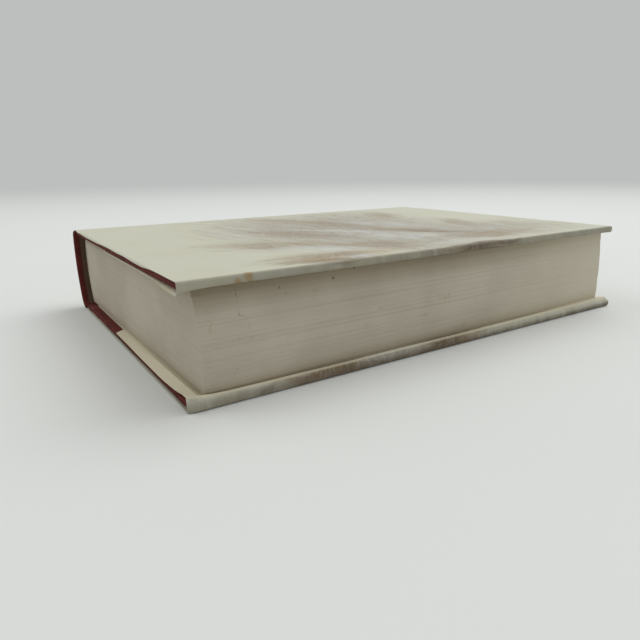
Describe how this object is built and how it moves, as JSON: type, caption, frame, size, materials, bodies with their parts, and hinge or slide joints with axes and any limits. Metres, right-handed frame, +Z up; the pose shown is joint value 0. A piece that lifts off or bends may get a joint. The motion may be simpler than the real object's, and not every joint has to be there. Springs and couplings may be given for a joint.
{
  "type": "hardback book",
  "caption": "Thick hardback book with a rounded hollow spine, cloth-covered boards and a loose paper dust jacket; its covers open at their joints.",
  "frame": {"origin": "on the table, under the centre of the back board, where the closed book rests on its back cover", "axes": "+X from the spine to the fore-edge, +Y from the tail to the head, +Z up out of the front cover"},
  "size_m": [0.1735, 0.241, 0.043],
  "materials": {
    "leaf_paper": "uncoated book paper, trimmed edge, slightly yellowed",
    "endpaper": "smooth uncoated endpaper",
    "mull_gauze": "open stiffened gauze, glued",
    "lining_paper": "brown lining paper, glued",
    "spine_card": "grey-brown card",
    "case_cloth": "dull maroon book cloth",
    "board_card": "grey binder's board",
    "jacket_paper": "coated jacket paper, pale cream with soft washes, satin"
  },
  "bodies": {
    "root": {"text_block": "leaf_paper", "front_flyleaf": "endpaper", "back_flyleaf": "endpaper", "mull": "mull_gauze", "spine_lining": "lining_paper", "spine_strip": "spine_card", "spine_cloth": "case_cloth", "jacket_spine": "jacket_paper"},
    "front_cover": {"front_board": "board_card", "front_cloth": "case_cloth", "front_pastedown": "endpaper", "jacket_front": "jacket_paper"},
    "back_cover": {"back_board": "board_card", "back_cloth": "case_cloth", "back_pastedown": "endpaper", "jacket_back": "jacket_paper"}
  },
  "joints": [
    {"name": "front_cover_joint", "type": "hinge", "parent": "root", "child": "front_cover", "pos_m": [-0.088, 0, 0.04142], "axis": [0, -1, 0], "range_deg": [0, 178]},
    {"name": "back_cover_joint", "type": "hinge", "parent": "root", "child": "back_cover", "pos_m": [-0.085, 0, 0.00158], "axis": [0, 1, 0], "range_deg": [0, 178]}
  ]
}
